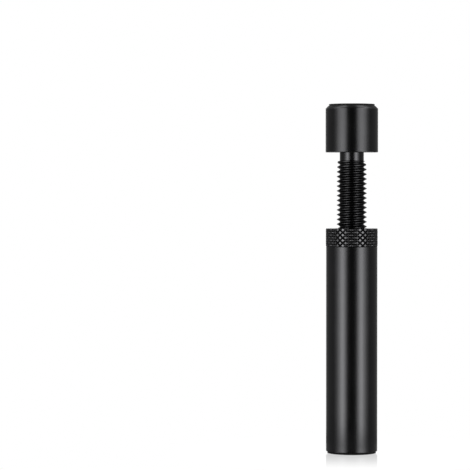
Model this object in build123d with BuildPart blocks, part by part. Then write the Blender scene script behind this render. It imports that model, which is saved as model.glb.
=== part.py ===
"""Screw stand that holds up the free end of a graphics card.

A bored round body carries a screw with a plain knob head. A knurled lock nut jams against the body's top.
A soft disc covers each end, and a disc magnet under the bore holds the foot to a steel case.
Millimetres, +Z up, origin on the floor at the stand's axis.
"""

import os
from math import cos, degrees, pi, radians, sin, tan

from build123d import *

# Body
body_diameter = 13.5
tube_length = 53.9
edge_break = 0.1

# Thread, 8 mm coarse, right hand, its crests a little under size
thread_diameter = 7.9
thread_pitch = 1.25
thread_depth = 0.8
thread_clearance = 0.1
countersink = 0.4

# Screw
head_diameter = 13.8
head_height = 12.3
head_chamfer = 0.8
relief_length = 2.2
tip_clearance = 1.0

# Bare thread between lock nut and head, at the height that the stand is set to
exposed_thread = 20.0

# Lock nut and its diamond knurl
nut_height = 4.7
knurl_teeth = 28
knurl_angle = 48.0
knurl_groove = 0.72
knurl_depth = 0.22
knurl_stand_out = 0.06

# Soft discs and foot magnet
base_pad_thickness = 0.5
base_pad_inset = 0.35
top_pad_thickness = 0.4
top_pad_inset = 0.1
magnet_thickness = 3.0
magnet_ledge = 1.0
magnet_clearance = 0.05

# Radii that follow from the driving sizes
body_radius = body_diameter / 2
thread_radius = thread_diameter / 2
root_radius = thread_radius - thread_depth
bore_radius = thread_radius + thread_clearance
mouth_radius = bore_radius + countersink
pocket_radius = bore_radius + magnet_ledge
magnet_radius = pocket_radius - magnet_clearance
head_radius = head_diameter / 2
head_flat_radius = head_radius - head_chamfer
knurl_radius = body_radius + knurl_stand_out
knurl_spacing = 2 * pi * knurl_radius / knurl_teeth
knurl_root_radius = knurl_radius - knurl_depth
knurl_peak_radius = knurl_root_radius + knurl_depth * knurl_spacing / knurl_groove
knurl_twist = degrees(nut_height * tan(radians(knurl_angle)) / knurl_radius)
foot_radius = body_radius - base_pad_inset

# Levels along the axis, from the floor up
tube_bottom = base_pad_thickness
pocket_top = tube_bottom + magnet_thickness
tube_top = tube_bottom + tube_length
nut_top = tube_top + nut_height
head_bottom = nut_top + exposed_thread
head_top = head_bottom + head_height
relief_bottom = head_bottom - relief_length
screw_length = nut_height + tube_top - pocket_top - tip_clearance
tip = head_bottom - screw_length


def turned(*profile):
    """Revolve a closed half profile, given as (radius, height) points, about the stand's axis."""
    with BuildSketch(Plane.XZ) as half_section:
        with BuildLine():
            Polyline(*profile, close=True)
        make_face()
    revolve(half_section.sketch, axis=Axis.Z)


def knurl_outline():
    """Ring of V grooves round the nut, whose peaks stand past the ring that they are cut in."""
    points = []
    for tooth in range(knurl_teeth):
        for radius, half_step in ((knurl_root_radius, 0), (knurl_peak_radius, 1)):
            angle = pi * (2 * tooth + half_step) / knurl_teeth
            points.append((radius * cos(angle), radius * sin(angle)))
    return points


# Body: tapped right through, countersunk mouth on top, magnet pocket below
with BuildPart() as support_tube:
    turned(
        (bore_radius, pocket_top),
        (pocket_radius, pocket_top),
        (pocket_radius, tube_bottom),
        (body_radius - edge_break, tube_bottom),
        (body_radius, tube_bottom + edge_break),
        (body_radius, tube_top - edge_break),
        (body_radius - edge_break, tube_top),
        (mouth_radius, tube_top),
        (bore_radius, tube_top - countersink),
    )

# Screw: knob head, thread relief under it, thread, chamfered tip
with BuildPart() as adjusting_screw:
    turned(
        (0, tip),
        (root_radius, tip),
        (thread_radius, tip + thread_depth),
        (thread_radius, relief_bottom - thread_depth),
        (root_radius, relief_bottom),
        (root_radius, head_bottom),
        (head_radius - edge_break, head_bottom),
        (head_radius, head_bottom + edge_break),
        (head_radius, head_top - head_chamfer),
        (head_flat_radius, head_top),
        (0, head_top),
    )

# Lock nut: a turned ring, kept where a right hand and a left hand twist of teeth overlap,
# so that the ring's surface stays as the flat top of each diamond; a row of diamonds lies at mid-height
with BuildSketch(Plane.XY.offset(tube_top).rotated((0, 0, -knurl_twist / 2))) as knurl_section:
    with BuildLine():
        Polyline(*knurl_outline(), close=True)
    make_face()

right_hand_teeth = Solid.extrude_linear_with_rotation(
    knurl_section.sketch.face(), (0, 0, tube_top), (0, 0, nut_height), knurl_twist
)

with BuildPart() as lock_nut:
    turned(
        (bore_radius, tube_top + countersink),
        (mouth_radius, tube_top),
        (knurl_radius - edge_break, tube_top),
        (knurl_radius, tube_top + edge_break),
        (knurl_radius, nut_top - edge_break),
        (knurl_radius - edge_break, nut_top),
        (mouth_radius, nut_top),
        (bore_radius, nut_top - countersink),
    )
    add(right_hand_teeth, mode=Mode.INTERSECT)
    add(right_hand_teeth.mirror(Plane.XZ), mode=Mode.INTERSECT)

# Soft discs, glued to the foot and to the head, each set in from the edge
with BuildPart(Plane.XY) as base_pad:
    Cylinder(foot_radius, base_pad_thickness, align=(Align.CENTER, Align.CENTER, Align.MIN))

with BuildPart(Plane.XY.offset(head_top)) as top_pad:
    Cylinder(
        head_flat_radius - top_pad_inset,
        top_pad_thickness,
        align=(Align.CENTER, Align.CENTER, Align.MIN),
    )

# Magnet, pressed up against the ledge round the bore and level with the foot
with BuildPart(Plane.XY.offset(tube_bottom)) as base_magnet:
    Cylinder(magnet_radius, magnet_thickness, align=(Align.CENTER, Align.CENTER, Align.MIN))
    chamfer(base_magnet.edges().filter_by(GeomType.CIRCLE), edge_break)

os.makedirs("parts", exist_ok=True)

support_tube.part.label = "support_tube"
export_step(support_tube.part, "parts/support_tube.step")

adjusting_screw.part.label = "adjusting_screw"
export_step(adjusting_screw.part, "parts/adjusting_screw.step")

lock_nut.part.label = "lock_nut"
export_step(lock_nut.part, "parts/lock_nut.step")

base_pad.part.label = "base_pad"
export_step(base_pad.part, "parts/base_pad.step")

top_pad.part.label = "top_pad"
export_step(top_pad.part, "parts/top_pad.step")

base_magnet.part.label = "base_magnet"
export_step(base_magnet.part, "parts/base_magnet.step")
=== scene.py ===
"""Dresses the screw stand: bored body, threaded screw with a knob head, knurled lock nut and soft end discs.

Metres, +Z up along the screw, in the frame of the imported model.
"""

from math import ceil, cos, pi, radians, sin, tan, tau

import bpy
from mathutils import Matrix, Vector


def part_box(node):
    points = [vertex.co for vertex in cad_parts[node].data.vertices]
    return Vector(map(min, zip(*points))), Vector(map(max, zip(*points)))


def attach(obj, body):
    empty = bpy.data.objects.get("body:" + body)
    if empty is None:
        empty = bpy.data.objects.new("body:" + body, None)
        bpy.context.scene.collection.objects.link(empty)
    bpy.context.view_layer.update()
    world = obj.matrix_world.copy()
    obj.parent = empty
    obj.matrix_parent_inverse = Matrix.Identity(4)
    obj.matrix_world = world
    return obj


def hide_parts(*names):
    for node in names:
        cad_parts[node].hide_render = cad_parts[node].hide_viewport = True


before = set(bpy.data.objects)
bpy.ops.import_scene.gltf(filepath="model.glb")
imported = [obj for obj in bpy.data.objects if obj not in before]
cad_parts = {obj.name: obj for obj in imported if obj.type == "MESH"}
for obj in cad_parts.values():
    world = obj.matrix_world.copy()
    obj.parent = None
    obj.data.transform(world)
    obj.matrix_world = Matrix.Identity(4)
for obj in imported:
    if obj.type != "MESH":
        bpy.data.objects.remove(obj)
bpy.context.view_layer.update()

MM = 0.001

# Levels and radii that the frame gives
tube_low, tube_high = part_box("support_tube")
nut_low, nut_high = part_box("lock_nut")
screw_low, screw_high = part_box("adjusting_screw")
base_pad_low, base_pad_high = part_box("base_pad")
top_pad_low, top_pad_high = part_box("top_pad")

body_radius = tube_high.x
head_radius = screw_high.x
tube_bottom = tube_low.z
tube_top = tube_high.z
nut_bottom = nut_low.z
nut_top = nut_high.z
screw_tip = screw_low.z
head_top = screw_high.z

# Body
magnet_pocket_depth = 3.0 * MM
magnet_ledge = 1.0 * MM
edge_break = 0.1 * MM
edge_round = 0.06 * MM

# Head and relief groove
head_height = 12.3 * MM
head_chamfer = 0.8 * MM
relief_length = 2.2 * MM
relief_step = 0.02 * MM

# Thread, coarse pitch, right hand
thread_radius = 3.95 * MM
thread_pitch = 1.25 * MM
thread_depth = 0.8 * MM
thread_flank = radians(30)
crest_flat = thread_pitch / 11
left_crest_height = 67.74 * MM
thread_clearance = 0.1 * MM
countersink = 0.4 * MM

# Run-out of the thread under the relief: a step up, then crests that grow to their full radius
run_out_radius = 3.72 * MM
run_out_length = 3.5 * MM
run_out_step = 0.1 * MM

# Diamond knurl
knurl_stand_out = 0.06 * MM
knurl_count = 28
knurl_angle = radians(48)
knurl_depth = 0.22 * MM
knurl_top_share = 0.48
knurl_shoulder_share = 0.56
knurl_shoulder_drop = 0.03 * MM
knurl_turn = radians(9.5)

# Soft discs
pad_round = 0.14 * MM

# Levels and radii worked out
pocket_top = tube_bottom + magnet_pocket_depth
head_bottom = head_top - head_height
relief_bottom = head_bottom - relief_length
root_radius = thread_radius - thread_depth
relief_radius = root_radius + relief_step
bore_radius = thread_radius + thread_clearance
mouth_radius = bore_radius + countersink
pocket_radius = bore_radius + magnet_ledge
knurl_radius = body_radius + knurl_stand_out
knurl_width = tau * knurl_radius / knurl_count
knurl_height = knurl_width / tan(knurl_angle)

# Fineness of the meshes
round_facets = 160
thread_facets = 80
root_arc_steps = 6
round_segments = 3
smooth_angle = radians(32)
merge_distance = 0.5e-6


# Modelling steps that several pieces share


def select_only(piece):
    bpy.ops.object.select_all(action="DESELECT")
    piece.select_set(True)
    bpy.context.view_layer.objects.active = piece


def apply_modifier(piece, kind, **settings):
    """Add a modifier, set it and apply it."""
    select_only(piece)
    modifier = piece.modifiers.new(kind.lower(), kind)
    for name, value in settings.items():
        setattr(modifier, name, value)
    bpy.ops.object.modifier_apply(modifier=modifier.name)


def combine(piece, other, operation):
    """Unite two closed meshes, or keep what they share, and drop the second one."""
    apply_modifier(piece, "BOOLEAN", operation=operation, object=other, solver="EXACT")
    bpy.data.objects.remove(other)


def merge_all():
    """In edit mode: select everything and merge what coincides."""
    bpy.ops.mesh.select_all(action="SELECT")
    bpy.ops.mesh.remove_doubles(threshold=merge_distance)


def close_mesh():
    """In edit mode: merge what coincides, cap open rings and turn the faces outwards."""
    merge_all()
    bpy.ops.mesh.fill_holes(sides=0)
    bpy.ops.mesh.select_all(action="SELECT")
    bpy.ops.mesh.normals_make_consistent(inside=False)


def turned(name, *profile):
    """Pull a circle along (radius, height) points: a wall that meets itself, or a capped solid."""
    bpy.ops.object.select_all(action="DESELECT")
    radius, height = profile[0]
    bpy.ops.mesh.primitive_circle_add(vertices=round_facets, radius=radius, location=(0, 0, height))
    piece = bpy.context.object
    piece.name = name
    bpy.ops.object.transform_apply(location=True)
    bpy.ops.object.mode_set(mode="EDIT")
    bpy.ops.mesh.select_all(action="SELECT")
    for next_radius, next_height in profile[1:]:
        rise = next_height - height
        spread = next_radius / radius
        bpy.ops.mesh.extrude_edges_move(TRANSFORM_OT_translate={"value": (0, 0, rise)})
        bpy.ops.transform.resize(value=(spread, spread, 1), center_override=(0, 0, 0))
        radius, height = next_radius, next_height
    close_mesh()
    bpy.ops.object.mode_set(mode="OBJECT")
    return piece


def soften_edges(piece, width):
    apply_modifier(
        piece,
        "BEVEL",
        width=width,
        segments=round_segments,
        limit_method="ANGLE",
        angle_limit=smooth_angle,
    )


def repeat(piece, count, step):
    """Copy a piece in a row, the copies in one mesh with it."""
    apply_modifier(
        piece,
        "ARRAY",
        count=count,
        use_relative_offset=False,
        use_constant_offset=True,
        constant_offset_displace=step,
    )


def slice_flat(height, upwards):
    """In edit mode: cut the mesh level at a height, drop what lies beyond and cap the cut."""
    bpy.ops.mesh.select_all(action="SELECT")
    bpy.ops.mesh.bisect(
        plane_co=(0, 0, height),
        plane_no=(0, 0, upwards),
        use_fill=True,
        clear_outer=True,
        threshold=merge_distance,
    )


def select_points(piece, wanted):
    """Leave the piece in edit mode with just the points selected whose place answers to wanted."""
    bpy.ops.mesh.select_all(action="DESELECT")
    bpy.ops.object.mode_set(mode="OBJECT")
    for point in piece.data.vertices:
        point.select = wanted(point.co)
    bpy.ops.object.mode_set(mode="EDIT")


def shade(piece):
    """Smooth the round walls and keep flat faces flat up to their rounded edges."""
    select_only(piece)
    bpy.ops.object.shade_smooth_by_angle(angle=smooth_angle)
    apply_modifier(piece, "WEIGHTED_NORMAL", keep_sharp=True)


def dress(piece, body, node, finish):
    """Give a finished piece its material and its body, and hide the node that it stands for."""
    shade(piece)
    piece.data.materials.clear()
    piece.data.materials.append(finish)
    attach(piece, body)
    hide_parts(node)


# Pieces


def make_body():
    """Round body: through bore with a countersunk mouth, and magnet pocket in the foot."""
    body = turned(
        "stand_body",
        (bore_radius, pocket_top),
        (pocket_radius, pocket_top),
        (pocket_radius, tube_bottom),
        (body_radius - edge_break, tube_bottom),
        (body_radius, tube_bottom + edge_break),
        (body_radius, tube_top - edge_break),
        (body_radius - edge_break, tube_top),
        (mouth_radius, tube_top),
        (bore_radius, tube_top - countersink),
        (bore_radius, pocket_top),
    )
    soften_edges(body, edge_round)
    return body


def thread_line():
    """Points of one pitch of thread as (radius, rise), from one crest's middle to the next."""
    half_crest = crest_flat / 2
    valley_depth = (thread_pitch / 2 - half_crest) / tan(thread_flank)
    arc_radius = valley_depth - thread_depth
    points = [(thread_radius, 0), (thread_radius, half_crest)]
    sweep = pi / 2 - thread_flank
    for step in range(root_arc_steps + 1):
        angle = sweep * (2 * step / root_arc_steps - 1)
        points.append((
            root_radius + arc_radius * (1 - cos(angle)),
            thread_pitch / 2 + arc_radius * sin(angle),
        ))
    points.append((thread_radius, thread_pitch - half_crest))
    points.append((thread_radius, thread_pitch))
    return points


def make_threaded_rod():
    """Draw one pitch of thread, wind it up the axis and trim it on a bar with tapered ends."""
    spare_turns = 2
    half_turn = 0.5
    turns = ceil((relief_bottom - screw_tip) / thread_pitch) + 2 * spare_turns
    turns_to_crest = ceil((left_crest_height - screw_tip) / thread_pitch) + spare_turns
    # The line is drawn on the right, half a turn away from the crest whose height is known
    start = left_crest_height - thread_pitch * (turns_to_crest + half_turn)
    points = [Vector((radius, 0, start + rise)) for radius, rise in thread_line()]

    bpy.ops.object.select_all(action="DESELECT")
    bpy.ops.mesh.primitive_plane_add(size=thread_pitch)
    rod = bpy.context.object
    bpy.ops.object.mode_set(mode="EDIT")
    bpy.ops.mesh.select_all(action="SELECT")
    bpy.ops.mesh.merge(type="CENTER")
    bpy.ops.transform.translate(value=points[0])
    for last, following in zip(points, points[1:]):
        bpy.ops.mesh.extrude_vertices_move(TRANSFORM_OT_translate={"value": following - last})
    bpy.ops.object.mode_set(mode="OBJECT")
    apply_modifier(
        rod,
        "SCREW",
        axis="Z",
        angle=tau,
        screw_offset=thread_pitch,
        iterations=turns,
        steps=thread_facets,
        render_steps=thread_facets,
        use_merge_vertices=False,
    )

    bpy.ops.object.mode_set(mode="EDIT")
    merge_all()
    slice_flat(screw_tip - thread_pitch / 2, -1)
    slice_flat(relief_bottom + thread_pitch / 2, 1)
    close_mesh()
    bpy.ops.object.mode_set(mode="OBJECT")

    clear_radius = thread_radius + edge_break
    taper = (thread_radius - run_out_radius) / run_out_length
    bar = turned(
        "thread_bar",
        (root_radius, screw_tip),
        (clear_radius, screw_tip + clear_radius - root_radius),
        (clear_radius, relief_bottom - (clear_radius - run_out_radius) / taper),
        (run_out_radius, relief_bottom - run_out_step),
        (root_radius, relief_bottom),
        (root_radius - relief_step, relief_bottom + relief_step),
    )
    combine(rod, bar, "INTERSECT")
    return rod


def make_screw():
    """Knob head and relief groove, turned, and united with the threaded rod."""
    screw = turned(
        "height_screw",
        (relief_radius, relief_bottom),
        (relief_radius, head_bottom),
        (head_radius - edge_break, head_bottom),
        (head_radius, head_bottom + edge_break),
        (head_radius, head_top - head_chamfer),
        (head_radius - head_chamfer, head_top),
    )
    soften_edges(screw, edge_round)
    combine(screw, make_threaded_rod(), "UNION")
    return screw


def make_knurl_tile():
    """One flat-topped diamond with a sloping groove wall all round, laid flat at its groove's pitch."""
    rings = ((1, knurl_depth), (knurl_shoulder_share, knurl_shoulder_drop), (knurl_top_share, 0))
    ring_count = len(rings)
    side = knurl_width / 2 ** 0.5
    bpy.ops.object.select_all(action="DESELECT")
    bpy.ops.mesh.primitive_grid_add(x_subdivisions=2 * ring_count, y_subdivisions=2 * ring_count, size=side)
    tile = bpy.context.object
    bpy.ops.object.mode_set(mode="EDIT")

    def ring_of(place):
        return round(ring_count * max(abs(place.x), abs(place.y)) / (side / 2))

    for inwards, (share, drop) in enumerate(rings):
        ring = ring_count - inwards
        spread = share * ring_count / ring
        select_points(tile, lambda place: place.z == 0 and ring_of(place) == ring)
        bpy.ops.transform.resize(value=(spread, spread, 1), center_override=(0, 0, 0))
        bpy.ops.transform.translate(value=(0, 0, -drop))
    bpy.ops.mesh.select_all(action="SELECT")
    bpy.ops.transform.rotate(value=pi / 4, orient_axis="Z", center_override=(0, 0, 0))
    bpy.ops.transform.resize(value=(1, knurl_height / knurl_width, 1), center_override=(0, 0, 0))
    bpy.ops.object.mode_set(mode="OBJECT")
    return tile


def make_knurled_bar():
    """Lay the diamonds out in rows, wrap them round the nut and close the ends: taller than the nut."""
    spare_rows = 1
    middle = (nut_bottom + nut_top) / 2
    rows_below = ceil((nut_top - middle) / knurl_height) + spare_rows
    bar = make_knurl_tile()
    repeat(bar, knurl_count, (knurl_width, 0, 0))
    repeat(bar, 2, (knurl_width / 2, knurl_height / 2, 0))
    repeat(bar, 2 * rows_below, (0, knurl_height, 0))

    for point in bar.data.vertices:
        around = point.co.x / knurl_radius + knurl_turn
        radius = knurl_radius + point.co.z
        height = middle + point.co.y - rows_below * knurl_height
        point.co = (radius * cos(around), radius * sin(around), height)

    select_only(bar)
    bpy.ops.object.mode_set(mode="EDIT")
    merge_all()
    slice_flat(nut_bottom - edge_break, -1)
    slice_flat(nut_top + edge_break, 1)
    close_mesh()
    bpy.ops.object.mode_set(mode="OBJECT")
    return bar


def make_nut():
    """Lock nut: a countersunk ring with broken edges, kept where the knurled bar fills it."""
    spare = edge_break / 2
    nut = turned(
        "knurled_nut",
        (bore_radius, nut_bottom + countersink),
        (mouth_radius, nut_bottom),
        (knurl_radius - edge_break, nut_bottom),
        (knurl_radius + spare, nut_bottom + edge_break + spare),
        (knurl_radius + spare, nut_top - edge_break - spare),
        (knurl_radius - edge_break, nut_top),
        (mouth_radius, nut_top),
        (bore_radius, nut_top - countersink),
        (bore_radius, nut_bottom + countersink),
    )
    combine(nut, make_knurled_bar(), "INTERSECT")
    return nut


def make_pad(name, low, high):
    """Soft disc with a rounded rim."""
    pad = turned(name, (high.x, low.z), (high.x, high.z))
    soften_edges(pad, pad_round)
    return pad


# Finishes

anodised_dark = (0.050, 0.050, 0.052, 1)
anodised_light = (0.066, 0.066, 0.068, 1)
# Bright colour of rubbed edges, and of the knurl's flats, where it is also painted highlight
anodised_wear_and_highlight = (0.16, 0.16, 0.165, 1)
# Darker tone of the thread, also laid into the knurl's grooves as painted shade
thread_tone_and_groove_shade = (0.030, 0.030, 0.031, 1)
rubber_dark = (0.010, 0.010, 0.010, 1)
rubber_light = (0.022, 0.022, 0.022, 1)
nickel_dark = (0.50, 0.48, 0.45, 1)
nickel_light = (0.66, 0.64, 0.60, 1)

# Size and detail of each noise
anodised_cloud = (6 * MM, 3)
anodised_grain = (0.12 * MM, 2)
turning_rings = (0.35 * MM, 2)
rubber_cloud = (2.5 * MM, 4)
rubber_grain = (0.15 * MM, 3)
nickel_cloud = (3 * MM, 3)
nickel_scratches = (0.2 * MM, 5)

# Roughness of each finish, and what its noises, the thread and the knurl's flats add to it
anodised_roughness = 0.205
cloud_roughness = 0.05
grain_roughness = 0.03
ring_roughness = 0.02
thread_roughness = 0.03
flat_roughness = 0.02
rubber_roughness = 0.72
rubber_grain_roughness = 0.15
rubber_gloss = 0.4
nickel_roughness = 0.18
scratch_roughness = 0.16

# Height of the finest noise as relief, and the share of another noise in that relief
anodised_relief = 0.0012 * MM
ring_relief_share = 0.15
rubber_relief = 0.01 * MM
cloud_relief_share = 0.5
nickel_relief = 0.002 * MM

# Edges rubbed bright: how far from the edge, how much, and in which patches of the cloud
rub_reach = 0.22 * MM
rub_core = 0.04 * MM
rub_share = 0.5
rub_patches = (0.35, 0.65)

# Thread's crests are darker than the plain surface; the knurl's grooves are darkened as painted shade, and
# its flats are brighter, partly rubbed wear and partly painted highlight
crest_darkening = 0.4
painted_groove_shade = 0.3
flat_wear_and_highlight = 0.46

# Radii between which the knurl's flats begin, and between which the nut's outside does
flat_band = (knurl_radius - 0.5 * knurl_depth, knurl_radius - 0.05 * knurl_depth)
outside_band = (knurl_radius - 2 * knurl_depth, knurl_radius - 1.5 * knurl_depth)


class Value:
    """A node's output that Python arithmetic works on: every operator adds a Math node."""

    def __init__(self, finish, socket):
        self.finish = finish
        self.socket = socket

    def math(self, operation, *terms):
        return self.finish.node("ShaderNodeMath", {"operation": operation}, dict(enumerate(terms)))

    def __add__(self, other):
        return self.math("ADD", self, other)

    def __sub__(self, other):
        return self.math("SUBTRACT", self, other)

    def __mul__(self, other):
        return self.math("MULTIPLY", self, other)

    def __pow__(self, other):
        return self.math("POWER", self, other)

    def __radd__(self, other):
        return self.math("ADD", other, self)

    def __rsub__(self, other):
        return self.math("SUBTRACT", other, self)

    def __rmul__(self, other):
        return self.math("MULTIPLY", other, self)

    def __abs__(self):
        return self.math("ABSOLUTE", self)

    def ramp(self, start, end):
        """0 up to start, 1 from end on, eased between; start may be the larger of the two."""
        return self.finish.node(
            "ShaderNodeMapRange",
            {"interpolation_type": "SMOOTHSTEP"},
            {"Value": self, "From Min": start, "From Max": end},
        )


class Finish:
    """A node tree that is being laid out, for a material or for the world."""

    def __init__(self, tree):
        self.tree = tree
        tree.nodes.clear()

    def node(self, kind, settings=None, sockets=None, output=0):
        """Add a node: settings first, then its sockets' values or links. Give its output, if it has any."""
        made = self.tree.nodes.new(kind)
        for name, value in (settings or {}).items():
            setattr(made, name, value)
        for name, value in (sockets or {}).items():
            if isinstance(value, Value):
                self.tree.links.new(value.socket, made.inputs[name])
            else:
                made.inputs[name].default_value = value
        if made.outputs:
            return Value(self, made.outputs[output])

    def place(self):
        """Object coordinates."""
        return self.node("ShaderNodeTexCoord", output="Object")

    def along(self, axis, vector):
        """One part of a vector, named by its axis."""
        return self.node("ShaderNodeSeparateXYZ", sockets={"Vector": vector}, output=axis)

    def radius(self, place):
        """Distance from the upright axis."""
        x = self.along("X", place)
        y = self.along("Y", place)
        return (x * x + y * y) ** 0.5

    def noise(self, place, size, detail):
        """Noise with features of about this size, from 0 to 1."""
        return self.node("ShaderNodeTexNoise", sockets={"Vector": place, "Scale": 1 / size, "Detail": detail})

    def rings(self, height, spacing, detail):
        """Noise that changes along the axis alone, as a turning tool leaves it."""
        return self.node(
            "ShaderNodeTexNoise",
            {"noise_dimensions": "1D"},
            {"W": height, "Scale": 1 / spacing, "Detail": detail},
        )

    def mix(self, share, first, second):
        """Colour from first to second as share goes from 0 to 1."""
        return self.node(
            "ShaderNodeMix",
            {"data_type": "RGBA"},
            {"Factor": share, "A": first, "B": second},
            output="Result",
        )

    def bump(self, height, distance):
        return self.node("ShaderNodeBump", sockets={"Height": height, "Distance": distance, "Strength": 1})

    def surface(self, shader):
        self.node("ShaderNodeOutputMaterial", sockets={"Surface": shader})


def new_material(name):
    material = bpy.data.materials.new(name)
    material.use_nodes = True
    return material, Finish(material.node_tree)


def grey(level):
    return (level, level, level, 1)


def anodised(name, edges, extra=None):
    """Black anodised aluminium: blasted grain over faint turning rings, a little bright along its edges."""
    material, finish = new_material(name)
    place = finish.place()
    height = finish.along("Z", place)
    radius = finish.radius(place)
    cloud = finish.noise(place, *anodised_cloud)
    grain = finish.noise(place, *anodised_grain)
    rings = finish.rings(height, *turning_rings)

    rubbed = 0
    for edge_height, edge_radius in edges:
        near = abs(height - edge_height) + abs(radius - edge_radius)
        rubbed = rubbed + near.ramp(rub_reach, rub_core)
    rubbed = rubbed * cloud.ramp(*rub_patches) * rub_share

    colour = finish.mix(cloud, anodised_dark, anodised_light)
    roughness = (
        anodised_roughness + cloud_roughness * cloud + grain_roughness * grain + ring_roughness * rings
    )
    relief = grain + ring_relief_share * rings
    if extra:
        colour, roughness = extra(finish, height, radius, colour, roughness)
    colour = finish.mix(rubbed, colour, anodised_wear_and_highlight)
    finish.surface(finish.node("ShaderNodeBsdfPrincipled", sockets={
        "Base Color": colour,
        "Roughness": roughness,
        "Metallic": 1,
        "Normal": finish.bump(relief, anodised_relief),
    }))
    return material


def body_finish():
    return anodised("body_anodised", [(tube_top, body_radius), (tube_bottom, body_radius)])


def screw_finish():
    """As the body, with the thread a little darker and duller, most of all on its crests."""

    def thread(finish, height, radius, colour, roughness):
        threaded = height.ramp(relief_bottom + edge_break, relief_bottom)
        deep = threaded * radius.ramp(thread_radius, root_radius)
        dimmed = finish.mix(crest_darkening * threaded * (1 - deep), colour, thread_tone_and_groove_shade)
        return dimmed, roughness + thread_roughness * threaded

    edges = [(head_top - head_chamfer, head_radius), (head_bottom, head_radius)]
    return anodised("screw_anodised", edges, thread)


def nut_finish():
    """As the body, with painted shade in the knurl's grooves, and the knurl's flats brighter than them:
    partly rubbed wear, partly painted highlight.
    """

    def knurl(finish, height, radius, colour, roughness):
        flat = radius.ramp(*flat_band)
        outside = radius.ramp(*outside_band)
        # Painted shade: the knurl's grooves are darkened
        groove_shaded = finish.mix(painted_groove_shade * outside * (1 - flat), colour, thread_tone_and_groove_shade)
        # Flats brightened: partly rubbed wear, partly painted highlight
        return finish.mix(flat_wear_and_highlight * flat, groove_shaded, anodised_wear_and_highlight), roughness + flat_roughness * flat

    return anodised("nut_anodised", [(nut_top, knurl_radius)], knurl)


def rubber_finish():
    """Matt black rubber with a fine moulded grain and a little dust."""
    material, finish = new_material("pad_rubber")
    place = finish.place()
    cloud = finish.noise(place, *rubber_cloud)
    grain = finish.noise(place, *rubber_grain)
    finish.surface(finish.node("ShaderNodeBsdfPrincipled", sockets={
        "Base Color": finish.mix(cloud, rubber_dark, rubber_light),
        "Roughness": rubber_roughness + rubber_grain_roughness * grain,
        "Specular IOR Level": rubber_gloss,
        "Normal": finish.bump(grain + cloud_relief_share * cloud, rubber_relief),
    }))
    return material


def nickel_finish():
    """Nickel plate with the fine scratches of a tumbled part."""
    material, finish = new_material("magnet_nickel")
    place = finish.place()
    cloud = finish.noise(place, *nickel_cloud)
    scratches = finish.noise(place, *nickel_scratches)
    finish.surface(finish.node("ShaderNodeBsdfPrincipled", sockets={
        "Base Color": finish.mix(cloud, nickel_dark, nickel_light),
        "Roughness": nickel_roughness + scratch_roughness * scratches,
        "Metallic": 1,
        "Normal": finish.bump(scratches, nickel_relief),
    }))
    return material


# Stage

camera_place = (-30.72 * MM, -663 * MM, 69.18 * MM)
camera_pitch = radians(1.02)
camera_lens = 193

# Strip lamps round the object: where they stand, then each one's azimuth from the middle line, size and level
light_azimuth = radians(-2)
strip_distance = 0.6
strip_height = -0.025
strip_azimuth = radians(44.75)
strip_size = (0.462, 0.56)
strip_level = 1.85
core_azimuth = radians(43)
core_size = (0.19, 0.21)
core_level = 2.6
wing_azimuth = radians(73)
wing_size = (0.147, 0.56)
wing_level = 0.5

# Lamps above, one to each side
top_place = (0.31, 0.1, 0.65)
top_size = (0.15, 0.4)
top_level = 2.5

# Room: dim in front, lighter behind, white where a reflection looks straight back
front_room_level = 0.01
back_room_level = 0.22
room_band = (-0.4, 0.15)
white_band = (0.93, 0.985)

# Floor: its white, the painted bounce glow that reflections see near the foot with a painted contact shadow
# next to it, how far its mirror reaches from the axis, and how that fades as it is seen from above
floor_radius = 0.046
floor_gap = 0.01 * MM
floor_glow = 0.93
floor_lit = 0.3
floor_painted_bounce = 0.35
painted_contact_shadow_band = (body_radius, 2 * body_radius)
mirror_share = 0.385
polish_share = 0.9
mirror_band = (44 * MM, 6 * MM)
mirror_fade = 0.5
mirror_roughness = 0.03


def make_camera():
    bpy.ops.object.select_all(action="DESELECT")
    bpy.ops.object.camera_add(location=camera_place, rotation=(pi / 2 - camera_pitch, 0, 0))
    camera = bpy.context.object
    camera.data.lens = camera_lens
    bpy.context.scene.camera = camera


def make_lamp(name, place, target, width, height, level):
    """Soft rectangular lamp that faces target, with the same brightness whatever its size."""
    bpy.ops.object.select_all(action="DESELECT")
    bpy.ops.object.light_add(type="AREA", location=place)
    lamp = bpy.context.object
    lamp.name = name
    lamp.rotation_euler = (Vector(target) - Vector(place)).to_track_quat("-Z", "Y").to_euler()
    lamp.data.shape = "RECTANGLE"
    lamp.data.size = width
    lamp.data.size_y = height
    lamp.data.energy = level * pi * width * height
    lamp.visible_camera = False


def make_strip(name, azimuth, size, level):
    """Tall strip lamp that stands round the object, at an azimuth from the lights' middle line."""
    angle = light_azimuth + azimuth
    place = (strip_distance * sin(angle), -strip_distance * cos(angle), strip_height)
    make_lamp(name, place, (0, 0, strip_height), *size, level)


def make_lights():
    """To each side a soft strip with a brighter core and a dim outer wing, and a lamp above."""
    x, y, z = top_place
    for side, hand in ((-1, "left"), (1, "right")):
        make_strip(f"strip_{hand}", side * strip_azimuth, strip_size, strip_level)
        make_strip(f"strip_core_{hand}", side * core_azimuth, core_size, core_level)
        make_strip(f"strip_wing_{hand}", side * wing_azimuth, wing_size, wing_level)
        make_lamp(f"top_{hand}", (side * x, y, z), (0, 0, head_top), *top_size, top_level)


def seen_rays(finish):
    """Light path switches: rays from the camera, and rays that a glossy or clear surface sends on."""
    camera = finish.node("ShaderNodeLightPath", output="Is Camera Ray")
    glossy = finish.node("ShaderNodeLightPath", output="Is Glossy Ray")
    transmission = finish.node("ShaderNodeLightPath", output="Is Transmission Ray")
    return camera, glossy + transmission


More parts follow.
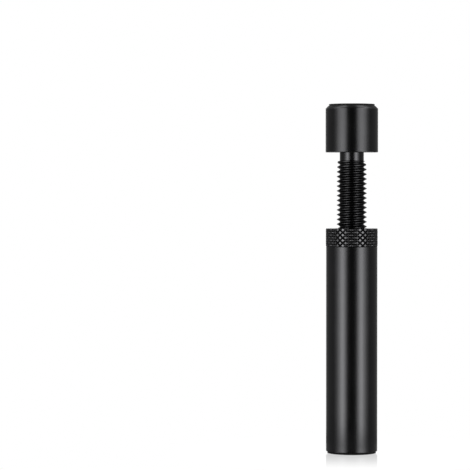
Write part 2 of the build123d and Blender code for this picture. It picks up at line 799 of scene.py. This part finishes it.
def make_world():
    """White behind the object, for the camera and for what reflects it, in a room that is dim in front."""
    world = bpy.data.worlds.new("studio")
    world.use_nodes = True
    bpy.context.scene.world = world
    finish = Finish(world.node_tree)
    direction = finish.node("ShaderNodeTexCoord", output="Generated")
    depth = finish.along("Y", direction)
    camera, reflected = seen_rays(finish)
    room = finish.mix(depth.ramp(*room_band), grey(front_room_level), grey(back_room_level))
    white = camera + reflected * depth.ramp(*white_band)
    colour = finish.mix(white, room, grey(1))
    light = finish.node("ShaderNodeBackground", sockets={"Color": colour, "Strength": 1})
    finish.node("ShaderNodeOutputWorld", sockets={"Surface": light})


def make_floor():
    """White floor with a soft shadow, which mirrors the foot faintly close by, less so from above."""
    bpy.ops.object.select_all(action="DESELECT")
    bpy.ops.mesh.primitive_circle_add(
        vertices=round_facets, radius=floor_radius, fill_type="NGON", location=(0, 0, -floor_gap)
    )
    floor = bpy.context.object
    bpy.ops.object.transform_apply(location=True)
    floor.name = "floor"
    material, finish = new_material("floor_white")
    radius = finish.radius(finish.place())
    camera, reflected = seen_rays(finish)
    close = radius.ramp(*mirror_band)
    # Painted bounce light: the floor glows for reflected rays near the foot, and the ramp out from the body
    # paints a contact shadow into that glow
    painted_bounce = floor_painted_bounce * close * radius.ramp(*painted_contact_shadow_band)
    lit = finish.node("ShaderNodeBsdfDiffuse", sockets={"Color": grey(floor_lit)})
    white = finish.node("ShaderNodeEmission", sockets={"Color": floor_glow * camera + painted_bounce * reflected})
    plain = finish.node("ShaderNodeAddShader", sockets={0: lit, 1: white})
    mirror = finish.node("ShaderNodeBsdfGlossy", sockets={"Color": grey(1), "Roughness": mirror_roughness})
    grazing = finish.node("ShaderNodeLayerWeight", output="Facing")
    share = close * (mirror_share * camera * grazing ** mirror_fade + polish_share * reflected)
    finish.surface(finish.node("ShaderNodeMixShader", sockets={0: share, 1: plain, 2: mirror}))
    floor.data.materials.append(material)


make_camera()
make_world()
make_lights()
make_floor()

rubber = rubber_finish()
dress(make_body(), "stand", "support_tube", body_finish())
dress(make_screw(), "screw", "adjusting_screw", screw_finish())
dress(make_nut(), "nut", "lock_nut", nut_finish())
dress(make_pad("foot_pad", base_pad_low, base_pad_high), "stand", "base_pad", rubber)
dress(make_pad("rest_pad", top_pad_low, top_pad_high), "pad", "top_pad", rubber)
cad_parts["base_magnet"].data.materials.clear()
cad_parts["base_magnet"].data.materials.append(nickel_finish())

bpy.context.scene.view_settings.view_transform = "Standard"
